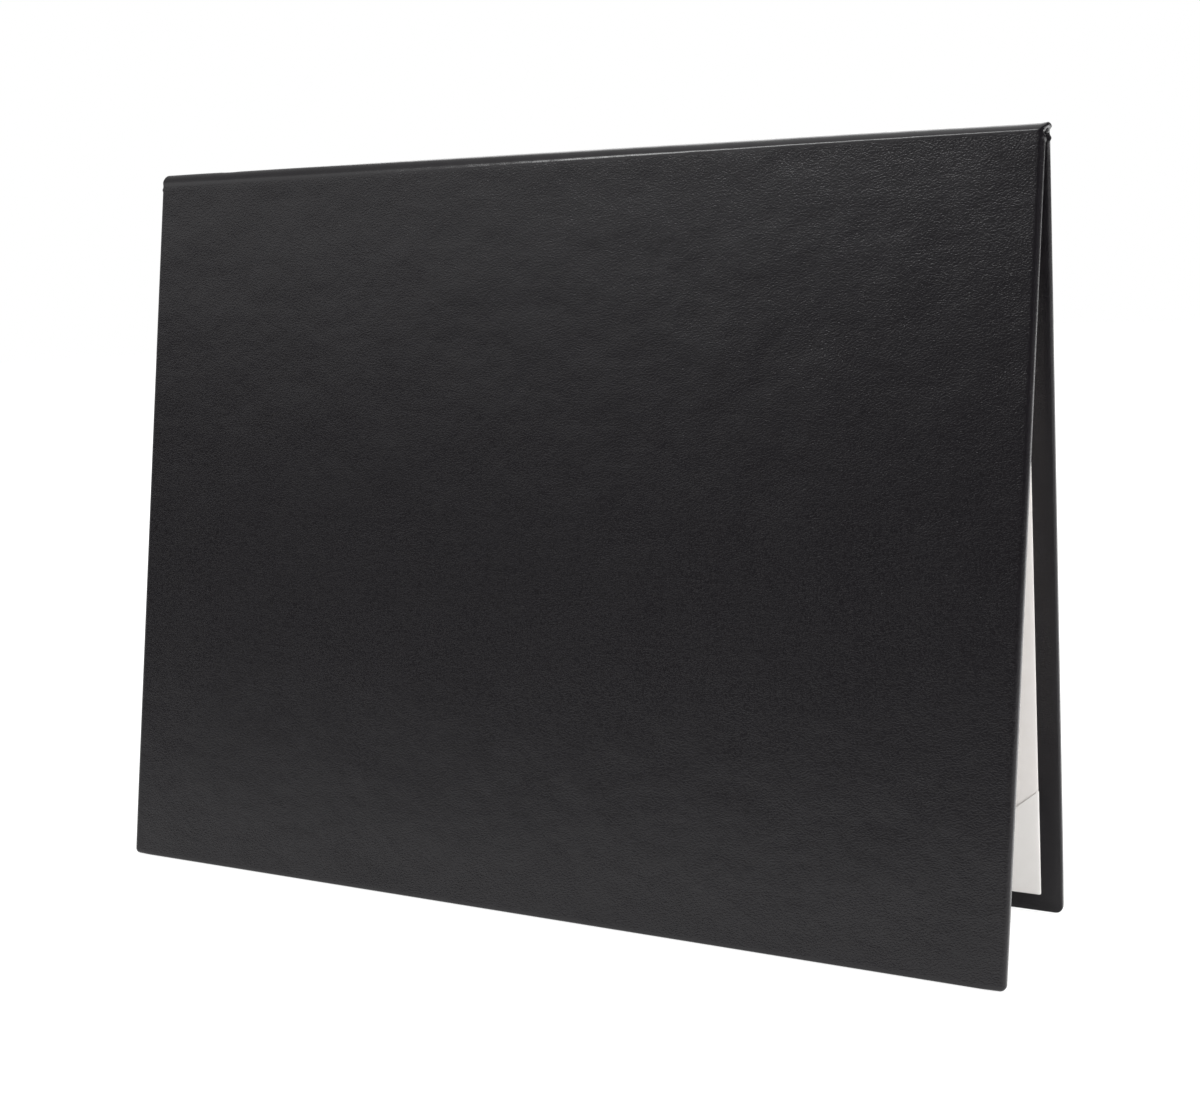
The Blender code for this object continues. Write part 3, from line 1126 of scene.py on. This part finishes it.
@dataclass
class CornerPockets(SubAssembly):
    """The four paper pockets that are folded round the corners of the rear lining.

    One is modelled at the origin, for a corner at the foot whose sheet runs towards minus x.
    """

    across: float = 37.2 * MM
    up: float = 32.5 * MM
    flap: float = 12.0 * MM
    back: float = 2.835 * MM
    face: float = 3.36 * MM
    outstep: float = 0.20 * MM
    corner_radius: float = 0.5 * MM
    face_radius: float = 0.22 * MM
    back_radius: float = 0.16 * MM
    skin: float = 0.11 * MM
    bulge: float = 0.42 * MM

    def make(self, lining: Lining) -> list[Piece]:
        """Build the pockets, dress them and tie them to the frame.

        Args:
            lining: The sheet that they are folded round.

        Returns:
            The finished pieces.
        """
        first = self._folded()
        made = [first, *(Bench.copy(first) for _ in range(len(Corner) - 1))]
        for piece, corner in zip(made, Corner):
            name, sign, at_foot = corner.value
            piece.name = piece.data.name = f"{name}_fold"
            height = lining.bottom if at_foot else lining.top
            to_corner = Matrix.Translation((-sign * lining.half_width, 0, height))
            flip = Matrix.Diagonal((-sign, 1.0, 1.0 if at_foot else -1.0, 1.0))
            Bench.place(piece, self.sizes.to_row(Side.REAR) @ to_corner @ flip)
            with Bench.editing(piece):
                Bench.face_outwards()
            Bench.smooth(piece)
            self.dress(piece, Slot.POCKET)
            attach(piece, "rear_panel")
            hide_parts(name)
        return made

    def _folded(self) -> Piece:
        """Fold one pocket.

        Returns:
            The pocket, at the origin.
        """
        left, out = -self.across, self.outstep
        piece = Bench.block("pocket_fold", (left, self.back, -out), (out, self.face, self.up))
        with Bench.editing(piece):
            Bench.pick_edges(lambda a, b: goes_through(a, b) and a.x > 0 and a.z < 0)
            Bench.round_edges(self.corner_radius, 4)
            for face, radius in ((self.face, self.face_radius), (self.back, self.back_radius)):
                Bench.pick_edges(
                    lambda a, b, face=face: lies_at(a, b, face)
                    and max(a.x, b.x) > left + NEAR
                    and min(a.z, b.z) < self.up - NEAR
                )
                Bench.round_edges(radius, 3)
            Bench.cut_rows(0, np.linspace(left + 2 * MM, -1 * MM, 18))
            Bench.cut_rows(2, np.linspace(1 * MM, self.up - 2 * MM, 17))
            mouth = Vector((-self.up, 0, self.across)).normalized()
            Bench.cut(Vector((left, 0, 0)), mouth, clear_front=True)
            Bench.cut_rows(0, np.array([-self.flap]))
            Bench.cut_rows(2, np.array([self.flap]))
            Bench.drop_faces(
                lambda middle, normal: normal.y < -FACING
                and middle.x < -self.flap
                and middle.z > self.flap
            )
            Bench.drop_faces(
                lambda middle, normal: middle.x < left + NEAR or middle.z > self.up - NEAR
            )
        Bench.sculpt(piece, self._bow)
        Bench.solidify(piece, self.skin)
        return piece

    def _bow(self, places: np.ndarray) -> np.ndarray:
        """Lift the mouth a little off the sheet, most in its middle.

        Args:
            places: Rows of x, y and z of the pocket at the origin.

        Returns:
            The moved rows.
        """
        x, y, z = places.T
        to_mouth = -x / self.across + z / self.up
        along = -x / self.across - z / self.up
        lift = smooth_step(to_mouth, 0.15, 1.0) * np.clip(1.0 - along**2, 0.0, 1.0)
        places[:, 1] += np.where(y > (self.face + self.back) / 2, lift * self.bulge, 0.0)
        return places


@dataclass
class Boards:
    """The greyboards, which keep their CAD shape inside the leatherette."""

    frame: dict
    material: Material

    def dress_nodes(self) -> None:
        """Give both boards their material."""
        for side in Side:
            node = self.frame["nodes"][f"{side.value}_board"]
            node.data.materials.clear()
            node.data.materials.append(self.material)


@dataclass(frozen=True)
class SoftLamp:
    """A studio lamp with a large soft face."""

    name: str
    place: Point
    aim: Point
    size: Pair
    power: float
    mirrored: bool = True

    def add(self) -> None:
        """Add the lamp to the scene."""
        Bench.clear_selection()
        bpy.ops.object.light_add(type="AREA", location=self.place)
        lamp = bpy.context.object
        lamp.name = self.name
        lamp.data.shape = "RECTANGLE"
        lamp.data.size, lamp.data.size_y = self.size
        lamp.data.energy = self.power
        lamp.rotation_mode = "QUATERNION"
        away = Vector(self.place) - Vector(self.aim)
        lamp.rotation_quaternion = away.to_track_quat("Z", "Y")
        lamp.visible_camera = False
        lamp.visible_glossy = self.mirrored


@dataclass
class Surroundings:
    """White surroundings, whose image in the gloss is dim towards the dark side of the room.

    A ramp is where it begins and ends in a direction of length 1, and the light there.
    """

    fill: float = 1.0
    edge_start: float = -0.42
    edge_slope: float = 0.9
    edge_height: float = 0.21
    over_edge: Ramp = (-0.02, 0.03, 0.0, 1.0)
    far_left: Ramp = (-0.78, -0.95, 0.0, 0.8)
    behind: Ramp = (-0.45, -0.15, 0.0, 1.0)
    backdrop: Ramp = (0.22, 0.02, 0.06, 1.0)
    overhead: Ramp = (0.55, 0.75, 0.0, 1.0)
    overhead_across: Ramp = (-0.62, -0.25, 0.35, 1.0)
    low: Pair = (0.07, -0.03)
    low_across: Ramp = (-0.25, -0.5, 0.06, 0.16)

    def make(self) -> None:
        """Build the world."""
        world = bpy.data.worlds.new("studio")
        bpy.context.scene.world = world
        wiring = Wiring.over(world)
        light = self._mirrored_light(wiring)
        camera, mirror = wiring.rays()
        by_ray = {"Value": mirror, "To Min": self.fill, "To Max": light}
        ambient = wiring.add("ShaderNodeMapRange", by_ray).outputs["Result"]
        strength = wiring.math("MAXIMUM", camera, ambient)
        white = {"Color": (1.0, 1.0, 1.0, 1.0), "Strength": strength}
        back = wiring.add("ShaderNodeBackground", white)
        wiring.add("ShaderNodeOutputWorld", {"Surface": back.outputs["Background"]})

    def _mirrored_light(self, wiring: Wiring) -> Socket:
        """Work out how bright the surroundings are in each direction of the gloss.

        Args:
            wiring: The world's wiring.

        Returns:
            The brightness.
        """
        across, along, height = wiring.apart(wiring.add("ShaderNodeTexCoord").outputs["Generated"])
        past_start = wiring.math("MAXIMUM", wiring.math("ADD", across, -self.edge_start), 0.0)
        edge = wiring.math("MULTIPLY_ADD", past_start, self.edge_slope, self.edge_height)
        light = wiring.ramp(wiring.math("SUBTRACT", height, edge), *self.over_edge)
        light = wiring.math("MAXIMUM", light, wiring.ramp(across, *self.far_left))
        behind = wiring.ramp(along, *self.behind)
        backdrop = wiring.math("MULTIPLY", behind, wiring.ramp(across, *self.backdrop))
        light = wiring.math("MAXIMUM", light, backdrop)
        overhead = wiring.math("MAXIMUM", wiring.ramp(height, *self.overhead), behind)
        lit = wiring.ramp(across, *self.overhead_across)
        light = wiring.math("MULTIPLY", light, wiring.ramp(overhead, 0.0, 1.0, 1.0, lit))
        lit = wiring.ramp(across, *self.low_across)
        return wiring.math("MAXIMUM", light, wiring.ramp(height, *self.low, 0.0, lit))


@dataclass
class Floor:
    """A plain pale floor that takes the object's shadow; its glow as the gloss sees it has a painted
    shade inside the tent and is painted darker towards the left.

    A ramp is where it begins and ends in metres, and the share of the glow there.
    """

    size: float = 8.0
    front: float = 0.70
    colour: float = 0.80
    seen_colour: float = 0.38
    glow: float = 0.80
    # painted shade: these two ramps cut the floor's glow in the gloss to a tenth under the tent
    painted_tent_shade_end: Ramp = (0.13, 0.16, 0.10, 1.0)
    painted_tent_shade_side: Ramp = (0.028, 0.038, 0.10, 1.0)
    # painted shade: the floor's glow in the gloss is darker towards the left
    mirrored: Ramp = (-0.32, -0.02, 0.46, 0.74)

    def make(self) -> None:
        """Build the floor and its material."""
        Bench.clear_selection()
        middle = (0.0, self.size / 2 - self.front, 0.0)
        bpy.ops.mesh.primitive_plane_add(size=self.size, location=middle)
        floor = bpy.context.object
        floor.name = "floor"
        material = bpy.data.materials.new("pale_floor")
        wiring = Wiring.over(material)
        camera, mirror = wiring.rays()
        seen = wiring.math("MAXIMUM", camera, mirror)
        # the glow's share carries the painted shade under the tent and towards the left
        glow_after_painted_shade = wiring.math("MAXIMUM", self._mirrored_glow(wiring), camera)
        level = wiring.ramp(seen, 0.0, 1.0, self.colour, self.seen_colour)
        grey = wiring.add("ShaderNodeCombineColor", dict.fromkeys(("Red", "Green", "Blue"), level))
        matt = wiring.add("ShaderNodeBsdfDiffuse", {"Color": grey.outputs["Color"]})
        glowing = wiring.math("MULTIPLY", wiring.math("MULTIPLY", seen, self.glow), glow_after_painted_shade)
        glow = wiring.add("ShaderNodeEmission", {"Strength": glowing})
        layers = {0: matt.outputs["BSDF"], 1: glow.outputs["Emission"]}
        both = wiring.add("ShaderNodeAddShader", layers)
        wiring.add("ShaderNodeOutputMaterial", {"Surface": both.outputs["Shader"]})
        floor.data.materials.append(material)

    def _mirrored_glow(self, wiring: Wiring) -> Socket:
        """Work out how much of the floor's glow the gloss sees at each place: a painted shade cuts
        it inside the tent, and painted shade dims it towards the left.

        Args:
            wiring: The material's wiring.

        Returns:
            The share.
        """
        x, y, _ = wiring.apart(wiring.add("ShaderNodeNewGeometry").outputs["Position"])
        past_end = wiring.ramp(wiring.math("ABSOLUTE", x), *self.painted_tent_shade_end)
        past_side = wiring.ramp(wiring.math("ABSOLUTE", y), *self.painted_tent_shade_side)
        outside = wiring.math("MAXIMUM", past_end, past_side)
        return wiring.math("MULTIPLY", outside, wiring.ramp(x, *self.mirrored))


@dataclass
class PhotoCamera:
    """The camera that the photograph was taken with, in metres, radians and its pixels."""

    place: Point = (0.258321, -0.494415, 0.184607)
    yaw: float = 0.50504
    pitch: float = -0.12920
    roll: float = -0.02466
    focal_pixels: float = 1823.73
    centre_pixels: Pair = (517.75, 529.80)
    frame_pixels: tuple[int, int] = (1200, 1098)
    sensor_mm: float = 36.0

    def make(self) -> None:
        """Stand the camera where the photograph was taken from."""
        Bench.clear_selection()
        bpy.ops.object.camera_add()
        camera = bpy.context.object
        camera.name = "camera"
        turns = ((self.yaw, "Z"), (math.pi / 2 + self.pitch, "X"), (self.roll, "Z"))
        yaw, pitch, roll = (Matrix.Rotation(angle, 4, axis) for angle, axis in turns)
        camera.matrix_world = Matrix.Translation(self.place) @ yaw @ pitch @ roll
        width, height = self.frame_pixels
        camera.data.sensor_width = self.sensor_mm
        camera.data.lens = self.focal_pixels / width * self.sensor_mm
        camera.data.shift_x = (width / 2 - self.centre_pixels[0]) / width
        camera.data.shift_y = (self.centre_pixels[1] - height / 2) / width
        camera.data.clip_start, camera.data.clip_end = 0.01, 50.0
        bpy.context.scene.camera = camera


def build_studio() -> None:
    """Build everything round the object."""
    Surroundings().make()
    Floor().make()
    key = SoftLamp("key_lamp", (-0.44, -1.06, 1.29), (0, 0, 0.20), (0.62, 0.22), 6.0)
    right = SoftLamp(
        "right_lamp", (1.35, -0.42, 0.40), (0.13, 0, 0.10), (0.80, 0.80), 12.5, mirrored=False
    )
    back = SoftLamp("back_lamp", (-0.5, 1.3, 1.1), (0, 0, 0.1), (1.1, 1.1), 6.0)
    for lamp in (key, right, back):
        lamp.add()
    PhotoCamera().make()
    bpy.context.scene.view_settings.view_transform = "Standard"


def build_materials() -> dict[Slot, Material]:
    """Build every material of the cover.

    Returns:
        The materials by their slots in the record.
    """
    groups = PatternGroups()
    finishes = {
        Slot.LEATHERETTE: LeatheretteFinish("black_leatherette"),
        Slot.HINGE: LeatheretteFinish("hinge_leatherette", cell=0.9 * MM, roughness=0.46),
        Slot.LINING: PaperFinish("lining_paper", (0.85, 0.824, 0.803), (0.835, 0.806, 0.782)),
        Slot.POCKET: PaperFinish(
            "pocket_paper", (0.85, 0.833, 0.812), (0.835, 0.817, 0.795), roughness=0.6
        ),
        Slot.GREYBOARD: PaperFinish(
            "greyboard", (0.34, 0.31, 0.27), (0.27, 0.245, 0.21), grain=1.2 * MM, tooth=0.02 * MM
        ),
    }
    return {slot: finish.material(groups) for slot, finish in finishes.items()}


def main() -> None:
    """Build the dressed cover on its frame."""
    logging.basicConfig(level=logging.INFO, format="%(name)s: %(message)s")
    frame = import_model()
    sizes, materials = CoverSizes(), build_materials()
    made = [
        LeatherHalf(sizes, materials, Side.FRONT).make(),
        LeatherHalf(sizes, materials, Side.REAR, corner_radius=2.2 * MM).make(),
    ]
    made += [HingeFold(sizes, materials, side).make() for side in Side]
    linings = {side: Lining(sizes, materials, side) for side in Side}
    made += [lining.make() for lining in linings.values()]
    made += CornerPockets(sizes, materials).make(linings[Side.REAR])
    Boards(frame, materials[Slot.GREYBOARD]).dress_nodes()
    build_studio()
    for piece in made:
        LOG.info("%s: %d faces", piece.name, len(piece.data.polygons))


if __name__ == "__main__":
    main()
